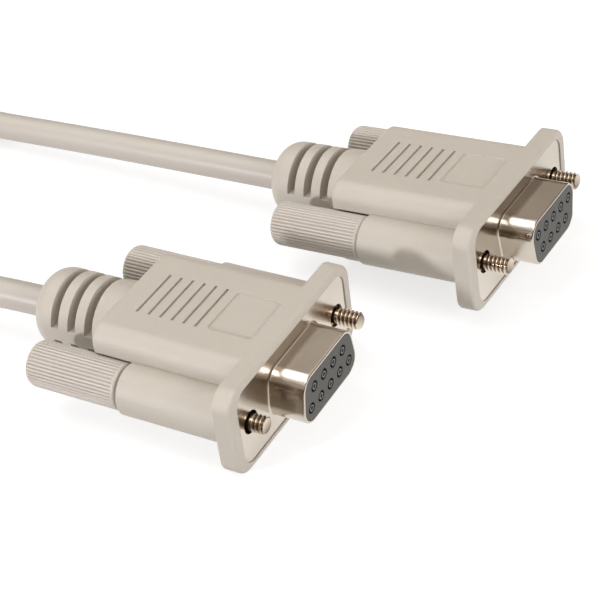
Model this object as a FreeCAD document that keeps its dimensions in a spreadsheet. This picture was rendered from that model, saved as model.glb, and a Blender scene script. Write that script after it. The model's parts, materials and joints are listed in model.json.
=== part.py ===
import FreeCAD, Part
import math
import os
import Sketcher

Vector = FreeCAD.Vector
Rotation = FreeCAD.Rotation
Placement = FreeCAD.Placement

# A serial cable with a moulded nine-way D-shaped socket at each end.
# Millimetres, +Z up, the surface it lies on is z = 0. Plug A points along +X.
# Inside a plug's own frame x = 0 is its mating face, +X points out of the
# socket, and the places below are distances back from that face.
SIZES = [
    # the two plugs on the table
    ("plug_a_x", 15.4, "mating face of plug A"),
    ("plug_a_y", -21.18, "axis of plug A"),
    ("plug_b_x", 31.7, "mating face of plug B"),
    ("plug_b_y", 20.87, "axis of plug B at its mating face"),
    ("plug_b_z", 8.95, "height of plug B's axis at its mating face"),
    ("plug_b_yaw", -1.25, "degrees that plug B is turned on the table"),
    ("plug_b_pitch", -2.77, "degrees that its nose is up, negative is up"),
    ("plug_b_roll", 178.31, "degrees that it is rolled: it lies the other way up"),
    # the connector: the D, its flange and its contacts
    ("contact_pitch", 2.77, "from contact to contact in a row"),
    ("row_pitch", 2.84, "between the two rows"),
    ("screw_spacing", 24.99, "between the two jackscrews"),
    ("shell_side", 2.625, "from an end contact to the outside of the D's wide side"),
    ("shell_over", 2.53, "from a row of contacts to the outside of the D"),
    ("shell_slope", 10.0, "degrees that the D's short sides lean in"),
    ("shell_corner", 2.6, "outside corner radius of the D"),
    ("shell_wall", 0.45, "sheet of the D"),
    ("shell_lip", 0.3, "rounding of the D's front edge"),
    ("shell_root", 0.3, "rounding where the D is drawn out of its flange"),
    ("plate_front", 5.55, "front of the metal flange, behind the mating face"),
    ("plate_sheet", 0.5, "sheet of each metal flange"),
    ("plate_reach", 2.905, "metal flange, beyond the axis of each jackscrew"),
    ("plate_height", 12.5, "metal flange"),
    ("plate_corner", 2.4, "metal flange"),
    ("plate_hole_radius", 1.75, "clearance hole for a jackscrew"),
    ("skirt_depth", 4.0, "D-shaped skirt of the rear shell"),
    ("skirt_margin", 0.5, "that the skirt is larger than the D all round"),
    ("hole_radius", 0.83, "contact hole in the front insulator"),
    ("hole_chamfer", 0.07, "lead-in of each contact hole"),
    ("hole_land", 0.45, "depth of the narrow part of a contact hole"),
    ("contact_radius", 0.8, "barrel of a contact"),
    ("contact_bore", 0.52, "bore of a contact, for a pin of 1.02"),
    ("contact_depth", 5.5, "depth of that bore"),
    ("tail_radius", 0.55, "solder end of a contact"),
    ("tail_length", 3.0, "solder end behind the rear insulator"),
    ("contact_gap", 0.04, "clearance of a contact in the insulators"),
    # the moulded hood
    ("flange_front", 5.4, "front rim of the moulded flange"),
    ("flange_thick", 3.0, "moulded flange, front to back"),
    ("flange_rim", 1.8, "moulded flange, beyond each end of the metal one"),
    ("flange_corner", 3.0, "moulded flange"),
    ("flange_edge", 0.6, "rounding of the flange's front edge"),
    ("flange_back_edge", 0.3, "rounding of the flange's back edge"),
    ("hood_height", 14.4, "flange and body are flush on both faces"),
    ("body_width", 21.8, "centre body"),
    ("body_rear", 32.2, "rear end of the body"),
    ("body_corner", 2.8, "rounding of the body's long edges"),
    ("body_end_edge", 0.9, "rounding of the body's rear edges"),
    ("sleeve_radius", 3.9, "sleeve round each jackscrew"),
    ("sleeve_rear", 25.3, "rear end of the sleeves"),
    ("sleeve_flare", 0.5, "blend of each sleeve into the flange"),
    ("sleeve_end_edge", 0.25, "bevel where sleeve and thumbscrew head meet"),
    ("cove_gap", 0.25, "clearance of the coves round the thumbscrew heads"),
    ("groove_first", 18.1, "centre of the front grip groove"),
    ("groove_pitch", 1.95, "from groove to groove"),
    ("groove_count", 6, "grip grooves on each face"),
    ("groove_length", 9.2, "across the hood"),
    ("groove_width", 0.45, "along the hood"),
    ("groove_depth", 0.32, "below the face"),
    ("panel_front", 9.05, "front edge of the bare label panel"),
    ("panel_length", 7.35, "along the hood"),
    ("panel_width", 8.8, "across the hood"),
    ("panel_corner", 0.7, "corner radius of the panel"),
    ("panel_depth", 0.2, "below the face"),
    # the slotted boot
    ("boot_root_radius", 6.65, "where the boot leaves the body"),
    ("boot_radius", 6.25, "round the ribs"),
    ("boot_dome_start", 44.4, "where the boot starts to close"),
    ("boot_end", 47.4, "rear end of the boot"),
    ("boot_end_radius", 4.4, "rim round the cord"),
    ("slot_first", 36.6, "centre of the front slot"),
    ("slot_pitch", 3.0, "from slot to slot"),
    ("slot_count", 3, "slots above and below"),
    ("slot_width", 1.35, "along the boot"),
    ("slot_core_radius", 3.6, "core left inside the slots"),
    ("slot_web", 2.2, "height of the web along each side"),
    # the thumbscrews
    ("screw_radius", 1.42, "4-40 thread, outside"),
    ("screw_tip", 1.5, "end of the screw, behind the mating face"),
    ("screw_chamfer", 0.35, "end of the thread"),
    ("thread_rear", 4.6, "rear end of the thread"),
    ("shank_radius", 1.2, "plain shank behind the thread"),
    ("screw_rear", 37.0, "end of the rod inside the head"),
    ("screw_gap", 0.08, "clearance of the rod in the sleeve"),
    ("neck_radius", 1.05, "groove that holds the retaining ring"),
    ("neck_front", 6.9, "front of that groove"),
    ("ring_thick", 0.8, "retaining ring"),
    ("ring_radius", 2.3, "retaining ring, outside"),
    ("ring_gap", 0.08, "clearance of the ring on the neck and in its bore"),
    ("screw_travel", 5.0, "how far a thumbscrew slides back"),
    ("loose_back", 0.3, "how far plug A's right thumbscrew has slid back"),
    ("loose_short", 1.2, "that its rod is shorter than the others"),
    ("head_radius", 3.5, "thumbscrew head over its ribs"),
    ("head_rear", 41.25, "rear end of the head"),
    ("head_gap", 0.12, "joint between head and sleeve"),
    ("head_edge", 1.2, "rounding of the head's rear edge"),
    ("head_collar", 0.4, "plain band at the head's front"),
    ("knurl_count", 40, "ribs round a head"),
    ("knurl_depth", 0.22, "between the ribs"),
    ("driver_slot_width", 1.0, "blind slot in the head's end"),
    ("driver_slot_length", 4.6, "blind slot in the head's end"),
    ("driver_slot_depth", 1.2, "blind slot in the head's end"),
    # what the hood hides
    ("mould_width", 17.6, "inner mould round the solder ends"),
    ("mould_height", 9.6, "inner mould"),
    ("mould_corner", 1.5, "inner mould"),
    ("mould_rear", 28.0, "rear face of the inner mould, where the jacket ends"),
    ("bundle_radius", 1.8, "bared wires, bundled"),
    ("bundle_length", 9.0, "bared wires inside the inner mould"),
    # the cord
    ("cord_diameter", 4.8, "over the jacket"),
    ("coil_x", -124.1, "centre of the coil"),
    ("coil_y", -2.2, "centre of the coil"),
    ("coil_radius", 28.5, "middle of its turns"),
    ("coil_columns", 5, "turns side by side on the table"),
    ("coil_layers", 2, "layers of turns"),
    ("coil_edge", 2.0, "rounding of the coil's outside"),
]

document = FreeCAD.newDocument("serial_cable")
sheet = document.addObject("Spreadsheet::Sheet", "sizes")
for row, (alias, number, meaning) in enumerate(SIZES, start=1):
    sheet.set(f"A{row}", meaning)
    sheet.set(f"B{row}", str(number))
    sheet.setAlias(f"B{row}", alias)
document.recompute()


class Size:
    """A number together with the formula that it comes from in the sheet."""

    def __init__(self, value, formula=None):
        self.value = float(value)
        self.formula = formula if formula is not None else repr(float(value))

    def _join(self, other, sign, result):
        return Size(result, f"({self.formula} {sign} {other.formula})")

    def __add__(self, other):
        other = as_size(other)
        return self._join(other, "+", self.value + other.value)

    def __radd__(self, other):
        return as_size(other) + self

    def __sub__(self, other):
        other = as_size(other)
        return self._join(other, "-", self.value - other.value)

    def __rsub__(self, other):
        return as_size(other) - self

    def __mul__(self, other):
        other = as_size(other)
        return self._join(other, "*", self.value * other.value)

    def __rmul__(self, other):
        return as_size(other) * self

    def __truediv__(self, other):
        other = as_size(other)
        return self._join(other, "/", self.value / other.value)

    def __neg__(self):
        return Size(-self.value, f"(-{self.formula})")


def as_size(thing):
    return thing if isinstance(thing, Size) else Size(thing)


def tangent(angle):
    return Size(math.tan(math.radians(angle.value)), f"tan({angle.formula} * 1 deg)")


class Sheet:
    """The driving sizes by name."""

    def __init__(self, rows):
        for name, number, _ in rows:
            setattr(self, name, Size(number, f"sizes.{name}"))


s = Sheet(SIZES)
zero = Size(0.0)

# Worked out once from the driving sizes, all behind the mating face
flange_rear = s.flange_front + s.flange_thick
plate_mid = s.plate_front + s.plate_sheet
plate_rear = plate_mid + s.plate_sheet
skirt_rear = plate_rear + s.skirt_depth
screw_side = s.screw_spacing / 2
plate_width = s.screw_spacing + s.plate_reach * 2
flange_width = plate_width + s.flange_rim * 2
shell_width = s.contact_pitch * 4 + s.shell_side * 2
shell_height = s.row_pitch + s.shell_over * 2
inside_corner = s.shell_corner - s.shell_wall
half_height = s.hood_height / 2
cord_radius = s.cord_diameter / 2


# Sketch helpers

def start_body(label):
    body = document.addObject("PartDesign::Body", label)
    body.Label = label
    return body


def start_sketch(body, name, role, offset=zero):
    """A sketch flat on one of the body's origin planes, moved along its normal."""
    sketch = body.newObject("Sketcher::SketchObject", name)
    plane = next(item for item in body.Origin.OriginFeatures if item.Role == role)
    sketch.AttachmentSupport = [(plane, "")]
    sketch.MapMode = "FlatFace"
    sketch.AttachmentOffset = Placement(Vector(0, 0, offset.value), Rotation())
    sketch.setExpression("AttachmentOffset.Base.z", offset.formula)
    return sketch


def dimension(sketch, constraint, size):
    index = sketch.addConstraint(constraint)
    sketch.setExpression(f"Constraints[{index}]", size.formula)


def pin_point(sketch, geometry, end, point):
    """Dimension one end of a piece of geometry from the sketch's origin."""
    dimension(sketch, Sketcher.Constraint("DistanceX", -1, 1, geometry, end, point[0].value), point[0])
    dimension(sketch, Sketcher.Constraint("DistanceY", -1, 1, geometry, end, point[1].value), point[1])


def flat(point):
    return Vector(point[0].value, point[1].value, 0)


def polygon(sketch, points):
    """Straight lines through the points, closed."""
    first = None
    for number, point in enumerate(points):
        following = points[(number + 1) % len(points)]
        line = sketch.addGeometry(Part.LineSegment(flat(point), flat(following)), False)
        first = line if first is None else first
        pin_point(sketch, line, 1, point)
        if number:
            sketch.addConstraint(Sketcher.Constraint("Coincident", line - 1, 2, line, 1))
    sketch.addConstraint(Sketcher.Constraint("Coincident", line, 2, first, 1))


def rounded_polygon(sketch, corners, radius):
    """A polygon whose corners are all rounded: the sharp corners are construction points."""
    count = len(corners)
    points = [flat(corner) for corner in corners]
    lines, arcs, marks = [], [], []
    trims = []
    for number in range(count):
        before = (points[number - 1] - points[number]).normalize()
        after = (points[(number + 1) % count] - points[number]).normalize()
        half_angle = before.getAngle(after) / 2
        reach = radius.value / math.tan(half_angle)
        centre = points[number] + (before + after).normalize() * (radius.value / math.sin(half_angle))
        trims.append((points[number] + before * reach, points[number] + after * reach, centre))
    for number in range(count):
        end = trims[(number + 1) % count][0]
        lines.append(sketch.addGeometry(Part.LineSegment(trims[number][1], end), False))
    for start, end, centre in trims:
        middle = centre + ((start + end) * 0.5 - centre).normalize() * radius.value
        arcs.append(sketch.addGeometry(Part.Arc(start, middle, end), False))
    for number, corner in enumerate(corners):
        marks.append(sketch.addGeometry(Part.Point(points[number]), True))
        pin_point(sketch, marks[number], 1, corner)
    for number in range(count):
        following = (number + 1) % count
        sketch.addConstraint(Sketcher.Constraint("PointOnObject", marks[number], 1, lines[number]))
        sketch.addConstraint(Sketcher.Constraint("PointOnObject", marks[following], 1, lines[number]))
    for number, (start, end, centre) in enumerate(trims):
        arc = sketch.Geometry[arcs[number]]
        starts_here = (arc.StartPoint - start).Length < (arc.EndPoint - start).Length
        near, far = (1, 2) if starts_here else (2, 1)
        sketch.addConstraint(Sketcher.Constraint("Tangent", lines[number - 1], 2, arcs[number], near))
        sketch.addConstraint(Sketcher.Constraint("Tangent", arcs[number], far, lines[number], 1))
        if number:
            sketch.addConstraint(Sketcher.Constraint("Equal", arcs[0], arcs[number]))
    dimension(sketch, Sketcher.Constraint("Radius", arcs[0], radius.value), radius)


def rectangle_corners(width, height, across=zero, up=zero):
    right, left = across + width / 2, across - width / 2
    top, bottom = up + height / 2, up - height / 2
    return [(right, bottom), (right, top), (left, top), (left, bottom)]


def d_corners(width, height, margin=zero):
    """The D's sharp corners, wide side down, grown by a margin all round."""
    slope = tangent(s.shell_slope)
    tilt = math.cos(math.radians(s.shell_slope.value))
    side = margin / Size(tilt, f"cos({s.shell_slope.formula} * 1 deg)") + margin * slope
    wide = width / 2 + side
    tall = height / 2 + margin
    narrow = wide - 2 * tall * slope
    return [(wide, -tall), (narrow, tall), (-narrow, tall), (-wide, -tall)]


def circle(sketch, across, up, radius):
    round_line = Part.Circle(Vector(across.value, up.value, 0), Vector(0, 0, 1), radius.value)
    index = sketch.addGeometry(round_line, False)
    pin_point(sketch, index, 3, (across, up))
    dimension(sketch, Sketcher.Constraint("Radius", index, radius.value), radius)


# Feature helpers. A plug's sections are sketched across it and run backwards, along -X.

def extrude(body, kind, name, sketch, length, forwards=False):
    feature = body.newObject(kind, name)
    feature.Profile = sketch
    feature.Length = length.value
    feature.setExpression("Length", length.formula)
    if kind == "PartDesign::Pad":
        feature.Reversed = not forwards
    else:
        feature.Reversed = forwards
    finish_feature(body, feature)
    return feature


def finish_feature(body, feature):
    body.Tip = feature
    document.recompute()


def pad(body, name, sketch, length, forwards=False):
    return extrude(body, "PartDesign::Pad", name, sketch, length, forwards)


def pocket(body, name, sketch, length, forwards=False):
    before = body.Shape.Volume
    feature = extrude(body, "PartDesign::Pocket", name, sketch, length, forwards)
    if body.Shape.Volume > before - 1e-4:
        raise RuntimeError(f"{body.Label}: {name} cuts nothing")
    return feature


def revolve(body, name, sketch):
    feature = body.newObject("PartDesign::Revolution", name)
    feature.Profile = sketch
    feature.ReferenceAxis = (sketch, ["H_Axis"])
    feature.Angle = 360.0
    finish_feature(body, feature)
    return feature


def dress_edges(body, kind, measure, name, size, chosen):
    """Work the edges of the body so far that pass the test."""
    base = body.Tip
    names = [f"Edge{number}" for number, edge in enumerate(base.Shape.Edges, start=1) if chosen(edge)]
    if not names:
        raise RuntimeError(f"{body.Label}: {name} has no edges")
    feature = body.newObject(kind, name)
    feature.Base = (base, names)
    setattr(feature, measure, size.value)
    feature.setExpression(measure, size.formula)
    finish_feature(body, feature)
    return feature


def round_edges(body, name, radius, chosen):
    return dress_edges(body, "PartDesign::Fillet", "Radius", name, radius, chosen)


def chamfer_edges(body, name, size, chosen):
    return dress_edges(body, "PartDesign::Chamfer", "Size", name, size, chosen)


def repeat_along(body, name, feature, sketch, axis, count, pitch):
    """Repeat a feature backwards along the plug. The span is from the first to the last."""
    pattern = body.newObject("PartDesign::LinearPattern", name)
    pattern.Originals = [feature]
    pattern.Direction = (sketch, [axis])
    pattern.Reversed = True
    pattern.Length = pitch.value * (count.value - 1)
    pattern.Occurrences = int(count.value)
    pattern.setExpression("Length", (pitch * (count - 1)).formula)
    pattern.setExpression("Occurrences", count.formula)
    finish_feature(body, pattern)
    return pattern


def lies_at(edge, place):
    """The whole edge lies in the section at this distance behind the mating face."""
    box = edge.BoundBox
    return abs(box.XMin + place.value) < 1e-5 and abs(box.XMax + place.value) < 1e-5


# The moulded hood: one piece of plastic moulded over everything inside it

def make_hood(label):
    body = start_body(label)

    # centre body, with rounded long edges and rear edges
    sketch = start_sketch(body, "body_section", "YZ_Plane", -s.flange_front)
    rounded_polygon(sketch, rectangle_corners(s.body_width, s.hood_height), s.body_corner)
    pad(body, "centre_body", sketch, s.body_rear - s.flange_front)
    round_edges(body, "rear_edges", s.body_end_edge, lambda edge: lies_at(edge, s.body_rear))

    # boot: a cone out of the body, a round barrel and a domed end
    sketch = start_sketch(body, "boot_profile", "XZ_Plane")
    boot_profile(sketch)
    revolve(body, "boot", sketch)

    # flange, rounded at the front and back, and sleeves that flare into it
    sketch = start_sketch(body, "flange_section", "YZ_Plane", -s.flange_front)
    rounded_polygon(sketch, rectangle_corners(flange_width, s.hood_height), s.flange_corner)
    pad(body, "flange", sketch, s.flange_thick)
    round_edges(body, "flange_front_edge", s.flange_edge, lambda edge: lies_at(edge, s.flange_front))
    round_edges(body, "flange_back_edge", s.flange_back_edge, is_flange_back)
    for side_name, side in (("left", screw_side), ("right", -screw_side)):
        sketch = start_sketch(body, f"{side_name}_sleeve_profile", "XZ_Plane", -side)
        sleeve_profile(sketch)
        revolve(body, f"{side_name}_sleeve", sketch)

    # coves in which the thumbscrew heads lie
    sketch = start_sketch(body, "cove_sections", "YZ_Plane", -s.sleeve_rear)
    for side in (screw_side, -screw_side):
        circle(sketch, side, zero, s.head_radius + s.cove_gap)
    pocket(body, "coves", sketch, s.boot_end - s.sleeve_rear)

    # grip grooves and the bare label panel, on both faces
    sketch = start_sketch(body, "groove_section", "XZ_Plane", s.groove_length / 2)
    depth = half_height - s.groove_depth
    for face in (1, -1):
        polygon(sketch, groove_corners(face, depth))
    cut = pocket(body, "groove", sketch, s.groove_length)
    repeat_along(body, "grooves", cut, sketch, "H_Axis", s.groove_count, s.groove_pitch)
    panel_middle = -(s.panel_front + s.panel_length / 2)
    for face, place in (("upper", half_height), ("lower", -half_height + s.panel_depth)):
        sketch = start_sketch(body, f"{face}_panel_outline", "XY_Plane", place)
        corners = rectangle_corners(s.panel_length, s.panel_width, panel_middle)
        rounded_polygon(sketch, corners, s.panel_corner)
        pocket(body, f"{face}_panel", sketch, s.panel_depth)

    # slots that let the boot bend: a core and a web along each side stay
    sketch = start_sketch(body, "slot_section", "YZ_Plane", -s.slot_first + s.slot_width / 2)
    for face in (1, -1):
        slot_outline(sketch, face)
    cut = pocket(body, "slot", sketch, s.slot_width)
    repeat_along(body, "slots", cut, sketch, "N_Axis", s.slot_count, s.slot_pitch)

    # seat of the metal flanges, rear skirt, inner mould and cord
    sketch = start_sketch(body, "plate_seat_outline", "YZ_Plane", -s.flange_front)
    rounded_polygon(sketch, rectangle_corners(plate_width, s.plate_height), s.plate_corner)
    pocket(body, "plate_seat", sketch, plate_rear - s.flange_front)
    sketch = start_sketch(body, "skirt_seat_outline", "YZ_Plane", -plate_rear)
    rounded_polygon(sketch, d_corners(shell_width, shell_height, s.skirt_margin), s.shell_corner)
    pocket(body, "skirt_seat", sketch, s.skirt_depth)
    sketch = start_sketch(body, "mould_seat_outline", "YZ_Plane", -skirt_rear)
    rounded_polygon(sketch, rectangle_corners(s.mould_width, s.mould_height), s.mould_corner)
    pocket(body, "mould_seat", sketch, s.mould_rear - skirt_rear)
    sketch = start_sketch(body, "cord_bore_section", "YZ_Plane", -s.mould_rear)
    circle(sketch, zero, zero, cord_radius)
    pocket(body, "cord_bore", sketch, s.boot_end - s.mould_rear)

    # each sleeve: a wide bore in which the ring travels, then a guide for the rod
    ring_room = s.screw_travel + s.ring_thick + s.neck_front
    sketch = start_sketch(body, "ring_bore_sections", "YZ_Plane", -plate_rear)
    for side in (screw_side, -screw_side):
        circle(sketch, side, zero, s.ring_radius + s.ring_gap)
    pocket(body, "ring_bores", sketch, ring_room - plate_rear + s.head_gap)
    sketch = start_sketch(body, "rod_bore_sections", "YZ_Plane", -plate_rear)
    for side in (screw_side, -screw_side):
        circle(sketch, side, zero, s.screw_radius + s.screw_gap)
    pocket(body, "rod_bores", sketch, s.sleeve_rear - plate_rear)
    return body


def is_flange_back(edge):
    """The flange's outline at the back, where the body doesn't run over it."""
    middle = edge.valueAt((edge.FirstParameter + edge.LastParameter) / 2)
    beyond_body = abs(middle.y) > s.body_width.value / 2 - s.body_corner.value + 1e-3
    straight_end = abs(abs(middle.y) - flange_width.value / 2) < 1e-3
    straight_face = abs(abs(middle.z) - half_height.value) < 1e-3
    corner = abs(middle.y) > flange_width.value / 2 - s.flange_corner.value
    return lies_at(edge, flange_rear) and beyond_body and (straight_end or straight_face or corner)


def sleeve_profile(sketch):
    """Half section of a sleeve, on its own axis, flaring out where it meets the flange."""
    radius, flare, bevel = s.sleeve_radius, s.sleeve_flare, s.sleeve_end_edge
    rear, inside = -s.sleeve_rear, -(s.flange_front + s.flange_thick / 2)
    foot, foot_end = (-flange_rear, radius + flare), (-(flange_rear + flare), radius)
    outline = [
        foot_end, (rear + bevel, radius), (rear, radius - bevel), (rear, zero),
        (inside, zero), (inside, radius + flare), foot]
    lines = []
    for start, finish in zip(outline, outline[1:]):
        lines.append(sketch.addGeometry(Part.LineSegment(flat(start), flat(finish)), False))
    centre = Vector(foot_end[0].value, foot[1].value, 0)
    bow = centre + Vector(math.sqrt(0.5), -math.sqrt(0.5), 0) * flare.value
    arc = sketch.addGeometry(Part.Arc(flat(foot_end), bow, flat(foot)), False)
    near = 1 if (sketch.Geometry[arc].StartPoint - flat(foot_end)).Length < 1e-6 else 2
    for number, point in enumerate(outline[:-1]):
        pin_point(sketch, lines[number], 1, point)
        if number:
            sketch.addConstraint(Sketcher.Constraint("Coincident", lines[number - 1], 2, lines[number], 1))
    pin_point(sketch, lines[-1], 2, foot)
    sketch.addConstraint(Sketcher.Constraint("Tangent", lines[0], 1, arc, near))
    sketch.addConstraint(Sketcher.Constraint("Coincident", arc, 3 - near, lines[-1], 2))


def boot_profile(sketch):
    root = (-s.body_rear, s.boot_root_radius)
    shoulder = (-(s.slot_first - s.slot_width / 2), s.boot_radius)
    dome = (-s.boot_dome_start, s.boot_radius)
    end = (-s.boot_end, s.boot_end_radius)
    inside = -s.body_rear + s.body_end_edge * 2
    outline = [(inside, zero), (inside, s.boot_root_radius), root, shoulder, dome]
    lines = []
    for start, finish in zip(outline, outline[1:]):
        lines.append(sketch.addGeometry(Part.LineSegment(flat(start), flat(finish)), False))
    drop = s.boot_radius.value - s.boot_end_radius.value
    back = s.boot_end.value - s.boot_dome_start.value
    bend = (back * back + drop * drop) / (2 * drop)
    centre = Vector(dome[0].value, dome[1].value - bend, 0)
    sweep = math.asin(back / bend) / 2
    middle = centre + Vector(-math.sin(sweep), math.cos(sweep), 0) * bend
    arc = sketch.addGeometry(Part.Arc(flat(dome), middle, flat(end)), False)
    curve = sketch.Geometry[arc]
    dome_end = 1 if (curve.StartPoint - flat(dome)).Length < 1e-6 else 2
    rim = sketch.addGeometry(Part.LineSegment(flat(end), Vector(end[0].value, 0, 0)), False)
    axis = sketch.addGeometry(Part.LineSegment(Vector(end[0].value, 0, 0), flat(outline[0])), False)
    for number, point in enumerate(outline[:-1]):
        pin_point(sketch, lines[number], 1, point)
        if number:
            sketch.addConstraint(Sketcher.Constraint("Coincident", lines[number - 1], 2, lines[number], 1))
    pin_point(sketch, lines[-1], 2, dome)
    sketch.addConstraint(Sketcher.Constraint("Tangent", lines[-1], 2, arc, dome_end))
    sketch.addConstraint(Sketcher.Constraint("Coincident", arc, 3 - dome_end, rim, 1))
    pin_point(sketch, rim, 1, end)
    sketch.addConstraint(Sketcher.Constraint("Coincident", rim, 2, axis, 1))
    pin_point(sketch, rim, 2, (end[0], zero))
    sketch.addConstraint(Sketcher.Constraint("Coincident", axis, 2, lines[0], 1))


def groove_corners(face, depth):
    front = -s.groove_first + s.groove_width / 2
    back = -s.groove_first - s.groove_width / 2
    floor, open_side = face * depth, face * (half_height + 1)
    return [(front, floor), (front, open_side), (back, open_side), (back, floor)]


def slot_outline(sketch, face):
    """One side's slot: everything above the web and outside the core."""
    web = face * s.slot_web / 2
    reach = s.boot_root_radius + 1
    squares = s.slot_core_radius * s.slot_core_radius - s.slot_web * s.slot_web / 4
    run = Size(math.sqrt(squares.value), f"sqrt({squares.formula})")
    corners = [
        (-run, web), (-reach, web), (-reach, face * reach),
        (reach, face * reach), (reach, web), (run, web)]
    lines = []
    for start, finish in zip(corners, corners[1:]):
        lines.append(sketch.addGeometry(Part.LineSegment(flat(start), flat(finish)), False))
    crown = Vector(0, face * s.slot_core_radius.value, 0)
    arc = sketch.addGeometry(Part.Arc(flat(corners[-1]), crown, flat(corners[0])), False)
    for number, point in enumerate(corners[:-1]):
        pin_point(sketch, lines[number], 1, point)
        if number:
            sketch.addConstraint(Sketcher.Constraint("Coincident", lines[number - 1], 2, lines[number], 1))
    pin_point(sketch, lines[-1], 2, corners[-1])
    curve = sketch.Geometry[arc]
    first = 1 if (curve.StartPoint - flat(corners[-1])).Length < 1e-6 else 2
    sketch.addConstraint(Sketcher.Constraint("Coincident", lines[-1], 2, arc, first))
    sketch.addConstraint(Sketcher.Constraint("Coincident", arc, 3 - first, lines[0], 1))
    dimension(sketch, Sketcher.Constraint("Radius", arc, s.slot_core_radius.value), s.slot_core_radius)


# The connector inside the hood

def screw_holes(sketch, radius):
    for side in (screw_side, -screw_side):
        circle(sketch, side, zero, radius)


def make_front_shell(label):
    """Flange and drawn D of one sheet, open at the front."""
    body = start_body(label)
    sketch = start_sketch(body, "flange_outline", "YZ_Plane", -s.plate_front)
    rounded_polygon(sketch, rectangle_corners(plate_width, s.plate_height), s.plate_corner)
    pad(body, "flange", sketch, s.plate_sheet)
    sketch = start_sketch(body, "d_outline", "YZ_Plane", -s.plate_front)
    rounded_polygon(sketch, d_corners(shell_width, shell_height), s.shell_corner)
    pad(body, "drawn_d", sketch, s.plate_front, forwards=True)
    round_edges(body, "front_lip", s.shell_lip, lambda edge: lies_at(edge, zero))
    half_width = shell_width.value / 2 + 0.01

    def at_root(edge):
        inside = edge.BoundBox.YMax < half_width and edge.BoundBox.YMin > -half_width
        return inside and lies_at(edge, s.plate_front)

    round_edges(body, "root", s.shell_root, at_root)
    sketch = start_sketch(body, "d_inside", "YZ_Plane")
    rounded_polygon(sketch, d_corners(shell_width, shell_height, -s.shell_wall), inside_corner)
    pocket(body, "inside", sketch, plate_mid)
    sketch = start_sketch(body, "hole_outlines", "YZ_Plane", -s.plate_front)
    screw_holes(sketch, s.plate_hole_radius)
    pocket(body, "holes", sketch, s.plate_sheet)
    return body


def make_rear_shell(label):
    """Second flange, with a skirt that holds the rear insulator."""
    body = start_body(label)
    sketch = start_sketch(body, "flange_outline", "YZ_Plane", -plate_mid)
    rounded_polygon(sketch, rectangle_corners(plate_width, s.plate_height), s.plate_corner)
    pad(body, "flange", sketch, s.plate_sheet)
    sketch = start_sketch(body, "skirt_outline", "YZ_Plane", -plate_rear)
    rounded_polygon(sketch, d_corners(shell_width, shell_height, s.skirt_margin), s.shell_corner)
    pad(body, "skirt", sketch, s.skirt_depth)
    sketch = start_sketch(body, "inside_outline", "YZ_Plane", -plate_mid)
    inside = s.skirt_margin - s.shell_wall
    rounded_polygon(sketch, d_corners(shell_width, shell_height, inside), inside_corner)
    pocket(body, "inside", sketch, skirt_rear - plate_mid)
    sketch = start_sketch(body, "hole_outlines", "YZ_Plane", -plate_mid)
    screw_holes(sketch, s.plate_hole_radius)
    pocket(body, "holes", sketch, s.plate_sheet)
    return body


def contact_places():
    """Five contacts in the wide row, below, and four in the narrow row."""
    places = []
    for step in range(-2, 3):
        places.append((s.contact_pitch * step, -s.row_pitch / 2))
    for step in (-1.5, -0.5, 0.5, 1.5):
        places.append((s.contact_pitch * step, s.row_pitch / 2))
    return places


def make_front_insulator(label):
    body = start_body(label)
    sketch = start_sketch(body, "block_outline", "YZ_Plane")
    rounded_polygon(sketch, d_corners(shell_width, shell_height, -s.shell_wall), inside_corner)
    pad(body, "block", sketch, plate_mid)
    sketch = start_sketch(body, "hole_outlines", "YZ_Plane")
    for across, up in contact_places():
        circle(sketch, across, up, s.hole_radius)
    pocket(body, "holes", sketch, s.hole_land)
    sketch = start_sketch(body, "barrel_outlines", "YZ_Plane", -s.hole_land)
    for across, up in contact_places():
        circle(sketch, across, up, s.contact_radius + s.contact_gap)
    pocket(body, "barrel_holes", sketch, plate_mid - s.hole_land)
    rim = 2 * math.pi * s.hole_radius.value

    def is_rim(edge):
        return lies_at(edge, zero) and abs(edge.Length - rim) < 1e-4

    chamfer_edges(body, "lead_ins", s.hole_chamfer, is_rim)
    return body


def make_rear_insulator(label):
    body = start_body(label)
    sketch = start_sketch(body, "block_outline", "YZ_Plane", -plate_mid)
    inside = s.skirt_margin - s.shell_wall
    rounded_polygon(sketch, d_corners(shell_width, shell_height, inside), inside_corner)
    pad(body, "block", sketch, skirt_rear - plate_mid)
    sketch = start_sketch(body, "barrel_outlines", "YZ_Plane", -plate_mid)
    for across, up in contact_places():
        circle(sketch, across, up, s.contact_radius + s.contact_gap)
    pocket(body, "barrel_holes", sketch, skirt_rear - plate_mid)
    return body


def make_contact(label):
    """A turned socket contact on its own axis: barrel, bore and solder end."""
    body = start_body(label)
    front, bore_end = -s.hole_land, -(s.hole_land + s.contact_depth)
    barrel_end, tail_end = -skirt_rear, -(skirt_rear + s.tail_length)
    sketch = start_sketch(body, "profile", "XZ_Plane")
    polygon(sketch, [
        (front, s.contact_bore), (front, s.contact_radius), (barrel_end, s.contact_radius),
        (barrel_end, s.tail_radius), (tail_end, s.tail_radius), (tail_end, zero),
        (bore_end, zero), (bore_end, s.contact_bore)])
    revolve(body, "turned", sketch)
    return body


def make_inner_mould(label):
    """First shot of plastic, round the solder ends and the bared wires."""
    body = start_body(label)
    sketch = start_sketch(body, "block_outline", "YZ_Plane", -skirt_rear)
    rounded_polygon(sketch, rectangle_corners(s.mould_width, s.mould_height), s.mould_corner)
    pad(body, "block", sketch, s.mould_rear - skirt_rear)
    sketch = start_sketch(body, "tail_outlines", "YZ_Plane", -skirt_rear)
    for across, up in contact_places():
        circle(sketch, across, up, s.tail_radius)
    pocket(body, "tail_holes", sketch, s.tail_length)
    sketch = start_sketch(body, "bundle_outline", "YZ_Plane", -(s.mould_rear - s.bundle_length))
    circle(sketch, zero, zero, s.bundle_radius)
    pocket(body, "bundle_hole", sketch, s.bundle_length)
    return body


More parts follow.
